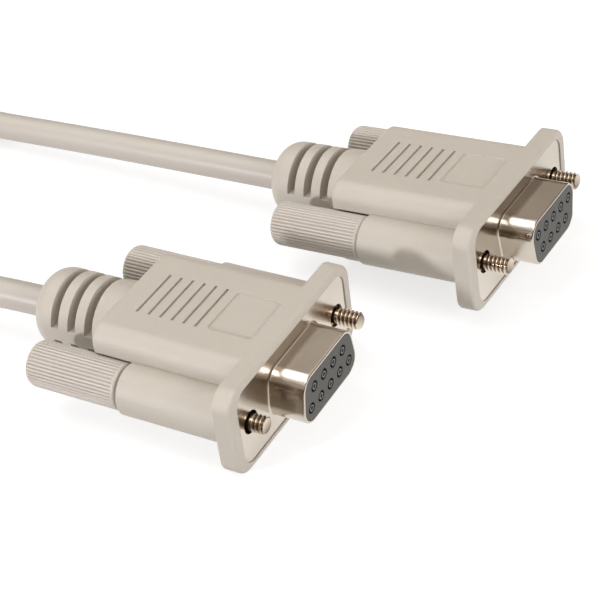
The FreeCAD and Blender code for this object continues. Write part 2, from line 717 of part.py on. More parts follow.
def make_wire_bundle(label):
    body = start_body(label)
    sketch = start_sketch(body, "section", "YZ_Plane", -(s.mould_rear - s.bundle_length))
    circle(sketch, zero, zero, s.bundle_radius)
    pad(body, "bundle", sketch, s.bundle_length)
    return body


def make_jacket_end(label):
    """The end of the cord's jacket, gripped by the boot and the hood."""
    body = start_body(label)
    sketch = start_sketch(body, "section", "YZ_Plane", -s.mould_rear)
    circle(sketch, zero, zero, cord_radius)
    pad(body, "jacket", sketch, s.boot_end - s.mould_rear)
    return body


# A thumbscrew, on its own axis: steel rod, ribbed plastic head and retaining ring

def make_rod(label, tip):
    body = start_body(label)
    neck_rear = s.neck_front + s.ring_thick + s.ring_gap
    sketch = start_sketch(body, "profile", "XZ_Plane")
    polygon(sketch, [
        (-tip, zero), (-tip, s.screw_radius - s.screw_chamfer),
        (-(tip + s.screw_chamfer), s.screw_radius), (-s.thread_rear, s.screw_radius),
        (-s.thread_rear, s.shank_radius), (-s.neck_front, s.shank_radius),
        (-s.neck_front, s.neck_radius), (-neck_rear, s.neck_radius),
        (-neck_rear, s.screw_radius), (-s.screw_rear, s.screw_radius), (-s.screw_rear, zero)])
    revolve(body, "turned", sketch)
    return body


def make_head(label):
    """Head moulded on the rod, with straight ribs, a plain collar and a blind driver slot."""
    body = start_body(label)
    front = -(s.sleeve_rear + s.head_gap)
    sketch = start_sketch(body, "section", "YZ_Plane", front)
    circle(sketch, zero, zero, s.head_radius)
    pad(body, "blank", sketch, s.head_rear + front)
    round_edges(body, "rear_edge", s.head_edge, lambda edge: lies_at(edge, s.head_rear))
    chamfer_edges(body, "front_edge", s.sleeve_end_edge, lambda edge: lies_at(edge, -front))
    sketch = start_sketch(body, "rib_gap", "YZ_Plane", front - s.head_collar)
    open_side = s.head_radius + s.knurl_depth
    half = s.knurl_depth * 2
    polygon(sketch, [(zero, s.head_radius - s.knurl_depth), (half, open_side), (-half, open_side)])
    cut = pocket(body, "rib_gap_cut", sketch, s.head_rear + front)
    ribs = body.newObject("PartDesign::PolarPattern", "ribs")
    ribs.Originals = [cut]
    ribs.Axis = (sketch, ["N_Axis"])
    ribs.Angle = 360.0
    ribs.Occurrences = int(s.knurl_count.value)
    ribs.setExpression("Occurrences", s.knurl_count.formula)
    finish_feature(body, ribs)
    sketch = start_sketch(body, "driver_slot_outline", "YZ_Plane", -s.head_rear + s.driver_slot_depth)
    polygon(sketch, rectangle_corners(s.driver_slot_width, s.driver_slot_length))
    pocket(body, "driver_slot", sketch, s.driver_slot_depth)
    sketch = start_sketch(body, "rod_seat_outline", "YZ_Plane", front)
    circle(sketch, zero, zero, s.screw_radius)
    pocket(body, "rod_seat", sketch, s.screw_rear + front)
    return body


def make_ring(label):
    """Ring snapped over the rod's neck: it slides with the screw and does not turn."""
    body = start_body(label)
    front = -(s.neck_front + s.ring_gap / 2)
    sketch = start_sketch(body, "section", "YZ_Plane", front)
    circle(sketch, zero, zero, s.ring_radius)
    circle(sketch, zero, zero, s.neck_radius + s.ring_gap)
    pad(body, "ring", sketch, s.ring_thick)
    return body


# Both plugs, each from the same pieces at its own place

plug_places = {
    "plug_a": Placement(Vector(s.plug_a_x.value, s.plug_a_y.value, half_height.value), Rotation()),
    "plug_b": Placement(
        Vector(s.plug_b_x.value, s.plug_b_y.value, s.plug_b_z.value),
        Rotation(s.plug_b_yaw.value, s.plug_b_pitch.value, s.plug_b_roll.value)),
}
pieces = []


def place(body, plug, across=zero, up=zero, back=zero):
    offset = Vector(-back.value, across.value, up.value)
    body.Placement = plug_places[plug].multiply(Placement(offset, Rotation()))
    pieces.append(body)


for plug in plug_places:
    place(make_hood(f"{plug}_hood"), plug)
    place(make_front_shell(f"{plug}_front_shell"), plug)
    place(make_rear_shell(f"{plug}_rear_shell"), plug)
    place(make_front_insulator(f"{plug}_front_insulator"), plug)
    place(make_rear_insulator(f"{plug}_rear_insulator"), plug)
    place(make_inner_mould(f"{plug}_inner_mould"), plug)
    place(make_wire_bundle(f"{plug}_wire_bundle"), plug)
    place(make_jacket_end(f"{plug}_jacket_end"), plug)
    for number, (across, up) in enumerate(contact_places(), start=1):
        place(make_contact(f"{plug}_contact_{number}"), plug, across, up)
    for side_name, side in (("left", screw_side), ("right", -screw_side)):
        loose = plug == "plug_a" and side_name == "right"
        back = s.loose_back if loose else zero
        tip = s.screw_tip + s.loose_short if loose else s.screw_tip
        place(make_rod(f"{plug}_{side_name}_screw", tip), plug, side, zero, back)
        place(make_head(f"{plug}_{side_name}_screw_head"), plug, side, zero, back)
        place(make_ring(f"{plug}_{side_name}_retaining_ring"), plug, side, zero, back)


# The cord: a tube from each boot to the coil, and one solid for the coil

def tube_path(points):
    """Straight runs joined by tangent arcs, each as large as its two runs allow."""
    edges = []
    start = points[0]
    for before, corner, after in zip(points, points[1:], points[2:]):
        back = (before - corner)
        ahead = (after - corner)
        turn = math.pi - back.getAngle(ahead)
        shorter = min(back.Length, ahead.Length)
        radius = 0.45 * shorter / math.tan(turn / 2)
        reach = 0.45 * shorter
        back.normalize()
        ahead.normalize()
        first, last = corner + back * reach, corner + ahead * reach
        towards_centre = (back + ahead).normalize()
        middle = corner + towards_centre * (radius / math.cos(turn / 2) - radius)
        edges.append(Part.LineSegment(start, first).toShape())
        edges.append(Part.Arc(first, middle, last).toShape())
        start = last
        print(f"cord arc: turn {math.degrees(turn):.1f} degrees, radius {radius:.0f} mm")
    edges.append(Part.LineSegment(start, points[-1]).toShape())
    return Part.Wire(edges)


def make_tube(label, points):
    path = tube_path(points)
    section = Part.Wire(Part.Circle(points[0], points[1] - points[0], cord_radius.value).toShape())
    solid = path.makePipeShell([section], True, False)
    expected = math.pi * cord_radius.value ** 2 * path.Length
    ratio = solid.Volume / expected
    print(f"{label}: {path.Length:.0f} mm long, volume {ratio:.4f} of section times length")
    feature = document.addObject("Part::Feature", label)
    feature.Label = label
    feature.Shape = solid
    feature.Placement = Placement()
    pieces.append(feature)
    return path.Length


def behind(plug, back, across=0.0, up=0.0):
    """A point this far behind a plug's mating face."""
    return plug_places[plug].multVec(Vector(-back, across, up))


def coil_point(turn, height):
    """A point of the outermost turn, at this angle in degrees."""
    outermost = s.coil_radius.value + cord_diameter * (s.coil_columns.value - 1) / 2
    angle = math.radians(turn)
    across = Vector(math.cos(angle), math.sin(angle), 0) * outermost
    return Vector(s.coil_x.value, s.coil_y.value, height) + across


def make_coil(label):
    """The outer shape of the coiled length, one ring."""
    body = start_body(label)
    sketch = start_sketch(body, "section", "XZ_Plane")
    width = s.cord_diameter * s.coil_columns
    height = s.cord_diameter * s.coil_layers
    rounded_polygon(sketch, rectangle_corners(width, height, s.coil_radius, height / 2), s.coil_edge)
    feature = body.newObject("PartDesign::Revolution", "ring")
    feature.Profile = sketch
    feature.ReferenceAxis = (sketch, ["V_Axis"])
    feature.Angle = 360.0
    finish_feature(body, feature)
    body.Placement = Placement(Vector(s.coil_x.value, s.coil_y.value, 0), Rotation())
    pieces.append(body)


cord_diameter = s.cord_diameter.value
lying = cord_radius.value
riding = lying + cord_diameter * (s.coil_layers.value - 1)

# From plug A down to the table, along it and up onto the coil's last turn
cord_a_route = [
    behind("plug_a", s.boot_end.value),
    Vector(-53.1, -21.4, 7.0),
    Vector(-71.1, -24.7, 3.0),
    Vector(-89.1, -30.5, 2.6),
    Vector(-103.6, -35.7, 6.4),
    coil_point(-70, riding),
]
# From plug B straight down to the table and into the coil's first turn
cord_b_route = [
    behind("plug_b", s.boot_end.value),
    Vector(-53.1, 23.2, 5.0),
    Vector(-89.1, 23.9, 3.0),
    coil_point(65, lying),
]
free_length = make_tube("cord_run_a", cord_a_route) + make_tube("cord_run_b", cord_b_route)
make_coil("cord_coil")
turns = (s.coil_columns.value - 1) * s.coil_layers.value + 0.625
wound_length = turns * 2 * math.pi * s.coil_radius.value
moulded_in = 2 * (s.boot_end.value - s.mould_rear.value)
print(f"jacketed cord: {free_length + wound_length + moulded_in:.0f} mm")


# Check every object and save each piece

document.recompute()
for item in document.Objects:
    if "Invalid" in item.State or "Error" in item.State:
        raise RuntimeError(f"{item.Label}: {item.State}")
os.makedirs("parts", exist_ok=True)
box = FreeCAD.BoundBox()
for piece in pieces:
    if piece.Shape.isNull() or not piece.Shape.isValid() or len(piece.Shape.Solids) != 1:
        raise RuntimeError(f"{piece.Label}: not one valid solid")
    if not piece.Label.startswith("cord"):
        box.add(piece.Shape.optimalBoundingBox(False))
    piece.Shape.exportStep(f"parts/{piece.Label}.step")
print(f"{len(pieces)} pieces")
print(f"plugs: x {box.XMin:.2f} to {box.XMax:.2f}, y {box.YMin:.2f} to {box.YMax:.2f}")
print(f"plugs: z {box.ZMin:.2f} to {box.ZMax:.2f}")
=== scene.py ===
import bmesh
import bpy
import json
import math
import numpy as np
from mathutils import Matrix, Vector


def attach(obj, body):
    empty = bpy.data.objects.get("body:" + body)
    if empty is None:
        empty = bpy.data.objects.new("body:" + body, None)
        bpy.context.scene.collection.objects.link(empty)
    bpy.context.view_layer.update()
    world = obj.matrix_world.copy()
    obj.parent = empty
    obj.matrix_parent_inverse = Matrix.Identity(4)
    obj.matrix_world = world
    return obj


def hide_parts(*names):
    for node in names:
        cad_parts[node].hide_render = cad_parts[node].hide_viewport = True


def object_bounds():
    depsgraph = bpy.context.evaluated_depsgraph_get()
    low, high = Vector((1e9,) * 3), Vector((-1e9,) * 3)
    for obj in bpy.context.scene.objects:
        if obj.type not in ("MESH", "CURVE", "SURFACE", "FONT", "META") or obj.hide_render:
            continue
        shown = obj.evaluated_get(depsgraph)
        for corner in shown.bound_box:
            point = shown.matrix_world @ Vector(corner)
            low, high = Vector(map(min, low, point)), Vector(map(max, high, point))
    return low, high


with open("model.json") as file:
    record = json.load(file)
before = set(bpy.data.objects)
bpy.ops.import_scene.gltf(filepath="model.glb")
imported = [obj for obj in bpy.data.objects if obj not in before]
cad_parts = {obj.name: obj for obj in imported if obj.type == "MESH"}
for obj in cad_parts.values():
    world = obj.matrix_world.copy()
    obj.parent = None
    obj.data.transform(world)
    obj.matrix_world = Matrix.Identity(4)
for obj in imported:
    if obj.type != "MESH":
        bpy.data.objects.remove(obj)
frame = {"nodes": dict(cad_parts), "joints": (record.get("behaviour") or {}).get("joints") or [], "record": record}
nodes = frame["nodes"]
record = frame["record"]
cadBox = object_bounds()
scene = bpy.context.scene
scene.view_settings.view_transform = "Standard"
mm = 0.001                    # sizes of pieces are in millimetres where no comment says otherwise
plugs = ["plug_a", "plug_b"]
sides = ["left", "right"]
print("frame loaded:", len(nodes), "nodes")


# Placing: a plug's own axes, read from the record's mounts and joints

def readPlace(plug):
    # rows of axes: the way the plug faces, the way to its left screw, and their cross product
    mounts = {mount["name"]: mount for mount in record["mounts"]}
    joints = {joint["name"]: joint for joint in frame["joints"]}
    origin = np.array(mounts[f"{plug}_socket"]["pos_m"])
    forward = np.array(mounts[f"{plug}_socket"]["axis"])
    left = np.array(joints[f"{plug}_left_screw_turn"]["pos_m"])
    right = np.array(joints[f"{plug}_right_screw_turn"]["pos_m"])
    across = (left - right) / np.linalg.norm(left - right)
    forward = forward / np.linalg.norm(forward)
    return {"origin": origin, "axes": np.array([forward, across, np.cross(forward, across)])}


plugPlaces = {plug: readPlace(plug) for plug in plugs}


def toRow(plug, points):
    # points in millimetres in a plug's own axes, to metres in the row frame
    place = plugPlaces[plug]
    return place["origin"] + (np.asarray(points) * mm) @ place["axes"]


def behindFace(plug, points):
    # millimetres that points of the row frame lie behind a plug's mating face
    place = plugPlaces[plug]
    return (place["origin"] - np.asarray(points)) @ place["axes"][0] / mm


# Camera, at the photograph's own angle

camera = {
    "position": (0.11528, -0.17701, 0.15897),
    "target": (0.00303, -0.00726, 0.0072),
    "lens": 103.32,
    "sensor": 36.0,
    "nearest": 0.01,          # nothing closer than this is drawn
    "roll": 7.985,            # degrees that the top of the picture leans to the right
}


def makeCamera():
    data = bpy.data.cameras.new("photoCamera")
    data.lens = camera["lens"]
    data.sensor_width = camera["sensor"]
    data.clip_start = camera["nearest"]
    viewer = bpy.data.objects.new("photoCamera", data)
    scene.collection.objects.link(viewer)
    position, target = np.array(camera["position"]), np.array(camera["target"])
    ahead = (target - position) / np.linalg.norm(target - position)
    level = np.cross(ahead, (0, 0, 1))
    level = level / np.linalg.norm(level)
    upright = np.cross(level, ahead)
    lean = math.radians(camera["roll"])
    top = upright * math.cos(lean) + level * math.sin(lean)
    right = np.cross(ahead, top)
    rows = [[right[k], top[k], -ahead[k], position[k]] for k in range(3)] + [[0, 0, 0, 1]]
    viewer.matrix_world = Matrix(rows)
    scene.camera = viewer
    print("camera placed")


makeCamera()


# Shader helpers

def newMaterial(name):
    material = bpy.data.materials.new(name)
    material.use_nodes = True
    tree = material.node_tree
    tree.nodes.clear()
    return material, tree, tree.nodes.new("ShaderNodeOutputMaterial")


def addNode(tree, kind, **settings):
    # a setting that is no property of the node goes to its input socket of that name
    node = tree.nodes.new(kind)
    for key, value in settings.items():
        if hasattr(node, key):
            setattr(node, key, value)
        else:
            node.inputs[key.replace("_", " ")].default_value = value
    return node


def mixColours(tree, factor, first, second):
    # a colour that goes from first to second with the factor; first and second are each a plain
    # colour or another node's output, and go to the sockets that a Mix node has for colours
    mix = addNode(tree, "ShaderNodeMix", data_type="RGBA")
    tree.links.new(factor, mix.inputs["Factor"])
    for socket, colour in ((mix.inputs[6], first), (mix.inputs[7], second)):
        if isinstance(colour, bpy.types.NodeSocket):
            tree.links.new(colour, socket)
        else:
            socket.default_value = (*colour, 1)
    return mix.outputs[2]


def grey(value):
    return (value, value, value, 1)


def pickByRay(tree, output, others, glossy, seen):
    # one shader for what the camera sees, one for mirror rays and one for all other light
    link = tree.links.new
    path = addNode(tree, "ShaderNodeLightPath")
    reflect = addNode(tree, "ShaderNodeMixShader")
    pick = addNode(tree, "ShaderNodeMixShader")
    link(path.outputs["Is Glossy Ray"], reflect.inputs[0])
    link(others.outputs[0], reflect.inputs[1])
    link(glossy.outputs[0], reflect.inputs[2])
    link(path.outputs["Is Camera Ray"], pick.inputs[0])
    link(reflect.outputs[0], pick.inputs[1])
    link(seen.outputs[0], pick.inputs[2])
    link(pick.outputs[0], output.inputs["Surface"])


grainNoise = {
    "fine": {"Detail": 3.0, "Roughness": 0.55},                 # its scale comes from the grain size
    "slow": {"Scale": 55.0, "Detail": 2.0, "Roughness": 0.5},   # drift of the colour and the polish
    "wavy": {"Scale": 260.0, "Detail": 2.0, "Roughness": 0.6},  # unevenness of a drawn sheet
}
grainInputs = [
    ("Colour", "NodeSocketColor", (0.5, 0.5, 0.5, 1)),
    ("Drift", "NodeSocketFloat", 0.04),
    ("Grain Size", "NodeSocketFloat", 0.25),                    # millimetres
    ("Roughness", "NodeSocketFloat", 0.45),
    ("Roughness Drift", "NodeSocketFloat", 0.06),
    ("Waviness", "NodeSocketFloat", 0.0),
]
grainOutputs = [
    ("Colour", "NodeSocketColor"),
    ("Height", "NodeSocketFloat"),
    ("Roughness", "NodeSocketFloat"),
]


def makeGrainGroup():
    # with slow, fine and wavy noise from 0 to 1: colour times 1 + drift x (slow - 0.5),
    # height fine + waviness x wavy, and roughness + its drift x (slow - 0.5)
    group = bpy.data.node_groups.new("mouldedGrain", "ShaderNodeTree")
    for name, kind, start in grainInputs:
        group.interface.new_socket(name=name, in_out="INPUT", socket_type=kind).default_value = start
    for name, kind in grainOutputs:
        group.interface.new_socket(name=name, in_out="OUTPUT", socket_type=kind)
    inward = group.nodes.new("NodeGroupInput")
    outward = group.nodes.new("NodeGroupOutput")
    coordinates = group.nodes.new("ShaderNodeTexCoord")
    noise = {}
    link = group.links.new
    for name, shape in grainNoise.items():
        noise[name] = addNode(group, "ShaderNodeTexNoise", **shape)
        link(coordinates.outputs["Object"], noise[name].inputs["Vector"])
    perMetre = addNode(group, "ShaderNodeMath", operation="DIVIDE")
    perMetre.inputs[0].default_value = 1 / mm
    link(inward.outputs["Grain Size"], perMetre.inputs[1])
    link(perMetre.outputs[0], noise["fine"].inputs["Scale"])
    centred = addNode(group, "ShaderNodeMath", operation="SUBTRACT")
    centred.inputs[1].default_value = 0.5
    link(noise["slow"].outputs["Fac"], centred.inputs[0])
    amount = addNode(group, "ShaderNodeMath", operation="MULTIPLY_ADD")
    amount.inputs[2].default_value = 1.0
    link(centred.outputs[0], amount.inputs[0])
    link(inward.outputs["Drift"], amount.inputs[1])
    tint = addNode(group, "ShaderNodeVectorMath", operation="SCALE")
    link(inward.outputs["Colour"], tint.inputs[0])
    link(amount.outputs[0], tint.inputs["Scale"])
    link(tint.outputs[0], outward.inputs["Colour"])
    height = addNode(group, "ShaderNodeMath", operation="MULTIPLY_ADD")
    link(noise["wavy"].outputs["Fac"], height.inputs[0])
    link(inward.outputs["Waviness"], height.inputs[1])
    link(noise["fine"].outputs["Fac"], height.inputs[2])
    link(height.outputs[0], outward.inputs["Height"])
    rough = addNode(group, "ShaderNodeMath", operation="MULTIPLY_ADD")
    link(centred.outputs[0], rough.inputs[0])
    link(inward.outputs["Roughness Drift"], rough.inputs[1])
    link(inward.outputs["Roughness"], rough.inputs[2])
    link(rough.outputs[0], outward.inputs["Roughness"])
    return group


grainGroup = makeGrainGroup()


# Materials: edge is the radius of the softened edges and bumpDepth the grain's height, in metres;
# the shade colour is painted shade: what the colour turns to where a piece's shade attribute is 1

shaderBasics = {
    "ior": 1.48,
    "subsurfaceRadius": (1.0, 0.75, 0.5),
    "subsurfaceScale": 0.0012,
    "edgeSamples": 8,
}
looks = {
    "hood": {"colour": (0.562, 0.509, 0.445), "drift": 0.06, "grain": 0.2, "roughness": 0.43,
             "roughnessDrift": 0.12, "bump": 1.0, "bumpDepth": 0.00007, "edge": 0.00016,
             "subsurface": 0.08},
    # head: painted shade darkens the gaps between the ribs
    "head": {"colour": (0.582, 0.529, 0.48), "drift": 0.05, "grain": 0.3, "roughness": 0.4,
             "roughnessDrift": 0.08, "bump": 0.12, "bumpDepth": 0.00004, "subsurface": 0.06,
             "paintedShadeColour": (0.49, 0.43, 0.37)},
    "cord": {"colour": (0.538, 0.492, 0.44), "drift": 0.04, "grain": 0.35, "roughness": 0.4,
             "roughnessDrift": 0.08, "bump": 0.1, "bumpDepth": 0.00004, "subsurface": 0.08},
    "shell": {"colour": (0.66, 0.6, 0.527), "drift": 0.9, "grain": 0.8, "roughness": 0.22,
              "roughnessDrift": 0.14, "bump": 0.3, "bumpDepth": 0.00001, "waviness": 5.0,
              "metallic": 1.0},
    # screw: painted shade darkens the thread's grooves and the shank behind the flange
    "screw": {"colour": (0.78, 0.68, 0.57), "drift": 0.3, "grain": 0.2, "roughness": 0.2,
              "roughnessDrift": 0.12, "bump": 0.05, "bumpDepth": 0.00002, "metallic": 1.0,
              "paintedShadeColour": (0.17, 0.115, 0.078)},
    # insulator: painted shade blackens its holes
    "insulator": {"colour": (0.08, 0.076, 0.072), "drift": 0.1, "grain": 0.15, "roughness": 0.5,
                  "roughnessDrift": 0.1, "bump": 0.2, "bumpDepth": 0.00003,
                  "paintedShadeColour": (0.003, 0.003, 0.003)},
    # contact: painted shade darkens its bore, and its dark colour also stands in for the shade in its hole
    "contact": {"colour": (0.21, 0.197, 0.18), "drift": 0.05, "grain": 0.2, "roughness": 0.35,
                "roughnessDrift": 0.05, "bump": 0.03, "bumpDepth": 0.00001, "metallic": 0.5,
                "paintedShadeColour": (0.07, 0.065, 0.06)},
    "inner": {"colour": (0.5, 0.47, 0.42), "drift": 0.05, "grain": 0.3, "roughness": 0.5,
              "roughnessDrift": 0.05, "bump": 0.05, "bumpDepth": 0.00002},
}


def mouldedMaterial(name, look):
    # moulded plastic or nickel: the grain group into a Principled shader
    material, tree, output = newMaterial(name)
    link = tree.links.new
    grain = addNode(tree, "ShaderNodeGroup", node_tree=grainGroup)
    grain.inputs["Colour"].default_value = (*look["colour"], 1)
    grain.inputs["Drift"].default_value = look["drift"]
    grain.inputs["Grain Size"].default_value = look["grain"]
    grain.inputs["Roughness"].default_value = look["roughness"]
    grain.inputs["Roughness Drift"].default_value = look["roughnessDrift"]
    grain.inputs["Waviness"].default_value = look.get("waviness", 0.0)
    shader = addNode(tree, "ShaderNodeBsdfPrincipled", Metallic=look.get("metallic", 0.0))
    shader.inputs["IOR"].default_value = shaderBasics["ior"]
    shader.inputs["Subsurface Weight"].default_value = look.get("subsurface", 0.0)
    shader.inputs["Subsurface Radius"].default_value = shaderBasics["subsurfaceRadius"]
    shader.inputs["Subsurface Scale"].default_value = shaderBasics["subsurfaceScale"]
    bump = addNode(tree, "ShaderNodeBump", Strength=look["bump"], Distance=look["bumpDepth"])
    surface = grain.outputs["Colour"]
    # painted shade: the colour darkens towards the shade colour as the shade attribute rises to 1
    if "paintedShadeColour" in look:
        inside = addNode(tree, "ShaderNodeAttribute", attribute_name="shade")
        surface = mixColours(tree, inside.outputs["Fac"], surface, look["paintedShadeColour"])
    link(surface, shader.inputs["Base Color"])
    link(grain.outputs["Roughness"], shader.inputs["Roughness"])
    link(grain.outputs["Height"], bump.inputs["Height"])
    if "edge" in look:
        edge = addNode(tree, "ShaderNodeBevel", samples=shaderBasics["edgeSamples"], Radius=look["edge"])
        link(edge.outputs["Normal"], bump.inputs["Normal"])
    link(bump.outputs["Normal"], shader.inputs["Normal"])
    link(shader.outputs["BSDF"], output.inputs["Surface"])
    return material


materials = {name: mouldedMaterial(name, look) for name, look in looks.items()}
print("materials made")


# Cord: one spline from plug A, through the coil, to plug B

cord = {
    "diameter": 4.8,
    "exit": 47.4,             # behind each mating face
    "fromPlugA": [(-53.1, -21.4, 7.0), (-71.1, -24.7, 3.0), (-89.1, -30.5, 2.6), (-103.6, -35.7, 6.4)],
    "fromPlugB": [(-53.1, 23.2, 5.0), (-89.1, 23.9, 3.0)],
    "coilCentre": (-124.1, -2.2),
    "coilRadius": 28.5,       # middle of the turns
    "columns": 5,
    "layers": 2,
    "firstAngle": 65.0,       # where the cord from plug B comes in, degrees
    "stepUp": 225.0,          # degrees over which the inner turn climbs to the upper layer, which
                              # also sets where the cord to plug A leaves
    "stepIn": 2.4,            # how far it swings inwards while it climbs
    "pointsPerTurn": 24,
    "splineOrder": 3,
    "stepsRound": 10,         # of each quarter of the cord's section
    "stepsAlong": 10,         # between two points of the spline
    "length": 1.69,           # metres
}


def coilPoints():
    # Spiral in on the table, climb inside the turns, spiral out on top of them.
    # The radius changes by one diameter a turn; the climb's height is a half cosine. The spline
    # runs inside its points, so the radius is divided by the cosine of half a step.
    outer = cord["coilRadius"] + cord["diameter"] * (cord["columns"] - 1) / 2
    turnsIn = 360.0 * (cord["columns"] - 1)
    climbEnd = turnsIn + cord["stepUp"]
    last = climbEnd + turnsIn
    step = 360.0 / cord["pointsPerTurn"]
    travel = np.linspace(0, last, int(round(last / step)) + 1)
    climb = np.clip((travel - turnsIn) / cord["stepUp"], 0, 1)
    low, high = cord["diameter"] / 2, cord["diameter"] * (cord["layers"] - 0.5)
    height = low + (high - low) * (0.5 - 0.5 * np.cos(climb * math.pi))
    inwards = outer - cord["diameter"] * np.minimum(travel, turnsIn) / 360
    outwards = cord["diameter"] * np.maximum(travel - climbEnd, 0) / 360
    radius = inwards + outwards - cord["stepIn"] * np.sin(climb * math.pi)
    radius = radius / math.cos(math.radians(step) / 2)
    angle = np.radians(cord["firstAngle"] + travel)
    centre = cord["coilCentre"]
    return np.column_stack([centre[0] + radius * np.cos(angle), centre[1] + radius * np.sin(angle), height])


def makeCord():
    exitA = toRow("plug_a", [(-cord["exit"], 0, 0)])
    exitB = toRow("plug_b", [(-cord["exit"], 0, 0)])
    route = np.vstack([
        exitA,
        np.array(cord["fromPlugA"]) * mm,
        coilPoints()[::-1] * mm,
        np.array(cord["fromPlugB"])[::-1] * mm,
        exitB,
    ])
    data = bpy.data.curves.new("cord", "CURVE")
    data.dimensions = "3D"
    data.bevel_depth = cord["diameter"] / 2 * mm
    data.bevel_resolution = cord["stepsRound"]
    data.use_fill_caps = True
    data.resolution_u = cord["stepsAlong"]
    spline = data.splines.new("NURBS")
    spline.points.add(len(route) - 1)
    spline.points.foreach_set("co", np.column_stack([route, np.ones(len(route))]).ravel())
    spline.order_u = cord["splineOrder"]
    spline.use_endpoint_u = True
    piece = bpy.data.objects.new("cord", data)
    scene.collection.objects.link(piece)
    data.materials.append(materials["cord"])
    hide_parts("cord_run_a", "cord_run_b", "cord_coil")
    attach(piece, "cable")
    print("cord made:", len(route), "points")


makeCord()


# Mesh helpers

finish = {
    "merge": 0.002,           # points of a CAD node closer than this are one
    "copyCrease": 32.0,       # degrees; a sharper edge stays crisp
    "turnedCrease": 50.0,     # on screws and heads
    "drawnCrease": 40.0,      # on the drawn D
    "normalWeight": 60,       # how strongly large faces hold the normals
}


def finishMesh(piece, creaseDegrees, *steps):
    # runs the steps on the mesh, then smooth faces, crisp creases and flat faces that look flat
    work = bmesh.new()
    work.from_mesh(piece.data)
    for step in steps:
        step(work)
    crease = math.radians(creaseDegrees)
    for face in work.faces:
        face.smooth = True
    for edge in work.edges:
        edge.smooth = len(edge.link_faces) == 2 and edge.calc_face_angle(0.0) < crease
    work.to_mesh(piece.data)
    work.free()
    weight = piece.modifiers.new("flatFaces", "WEIGHTED_NORMAL")
    weight.keep_sharp = True
    weight.weight = finish["normalWeight"]


def mergePoints(work):
    bmesh.ops.remove_doubles(work, verts=work.verts, dist=finish["merge"] * mm)


def turnOutwards(work):
    bmesh.ops.recalc_face_normals(work, faces=work.faces)


def claim(piece, node, body):
    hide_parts(node)
    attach(piece, body)


def addShade(data, values):
    # painted shade: a number per point, 0 open to the light and 1 deep inside where shade falls, which the
    # materials read
    layer = data.attributes.new("shade", "FLOAT", "POINT")
    layer.data.foreach_set("value", np.asarray(values, np.float32).ravel())


def readPoints(piece):
    points = np.zeros(len(piece.data.vertices) * 3, np.float32)
    piece.data.vertices.foreach_get("co", points)
    return points.reshape(-1, 3).astype(float)


# CAD nodes whose shape is right: merged copies with smooth curves and crisp edges

dressedNodes = [              # node, look and slot
    ("hood", "hood", "hood_plastic"),
    ("front_insulator", "insulator", "insulator_plastic"),
    ("jacket_end", "cord", "cord_jacket"),
]
hiddenNodes = [               # node and look: inside the hood, and left with their own meshes
    ("left_retaining_ring", "screw"),
    ("right_retaining_ring", "screw"),
    ("rear_shell", "shell"),
    ("rear_insulator", "insulator"),
    ("inner_mould", "inner"),
    ("wire_bundle", "inner"),
]
insulatorShade = (0.06, 0.2)  # distances behind the mating face at which the painted shade of the holes is 0 and 1
contact = {
    "pitch": 2.77,
    "row": 1.42,              # each row's distance from the middle
    "wideRow": 5,             # contacts 1 to 5, then 6 to 9 in the narrow row
    "count": 9,
    "tipBehind": 0.03,        # the rolled front edge behind the mating face
    "tipLand": 0.5,           # what lies in front of this in the CAD node is that edge
    "tipNarrowing": 0.62,
    "shade": (0.5, 2.5),      # as for the insulator: painted shade in the bore
}


def smoothCopy(node, look):
    data = nodes[node].data.copy()
    data.name = f"{node}_dressed"
    data.materials.clear()
    data.materials.append(materials[look])
    piece = bpy.data.objects.new(data.name, data)
    scene.collection.objects.link(piece)
    finishMesh(piece, finish["copyCrease"], mergePoints)
    claim(piece, node, "cable")
    return piece


def shadeInside(piece, plug, start, full):
    # the painted shade rises from 0 to 1 between two distances behind the mating face, darkening holes
    distance = behindFace(plug, readPoints(piece))
    addShade(piece.data, np.clip((distance - start) / (full - start), 0, 1))


def rollTip(piece, plug, middle):
    # draws a contact's front ring forwards and inwards, towards the middle of its hole
    points = readPoints(piece)
    front = behindFace(plug, points) < contact["tipLand"]
    centre = toRow(plug, (0, *middle))
    forward = plugPlaces[plug]["axes"][0]
    aside = points - centre - np.outer((points - centre) @ forward, forward)
    moved = centre + aside * contact["tipNarrowing"] - forward * contact["tipBehind"] * mm
    points[front] = moved[front]
    piece.data.vertices.foreach_set("co", points.astype(np.float32).ravel())


def contactPlace(number):
    # across and up from the plug's middle, each row centred on it
    if number <= contact["wideRow"]:
        middleNumber, up = (1 + contact["wideRow"]) / 2, -contact["row"]
    else:
        middleNumber, up = (1 + contact["wideRow"] + contact["count"]) / 2, contact["row"]
    return contact["pitch"] * (number - middleNumber), up


for plug in plugs:
    for node, look, slotName in dressedNodes:
        piece = smoothCopy(f"{plug}_{node}", look)
        if node == "front_insulator":
            shadeInside(piece, plug, *insulatorShade)
    for number in range(1, contact["count"] + 1):
        piece = smoothCopy(f"{plug}_contact_{number}", "contact")
        rollTip(piece, plug, contactPlace(number))
        shadeInside(piece, plug, *contact["shade"])
    for node, look in hiddenNodes:
        nodes[f"{plug}_{node}"].data.materials.clear()
        nodes[f"{plug}_{node}"].data.materials.append(materials[look])
print("CAD nodes dressed")


# Grid surfaces: rings of points, joined ring to ring

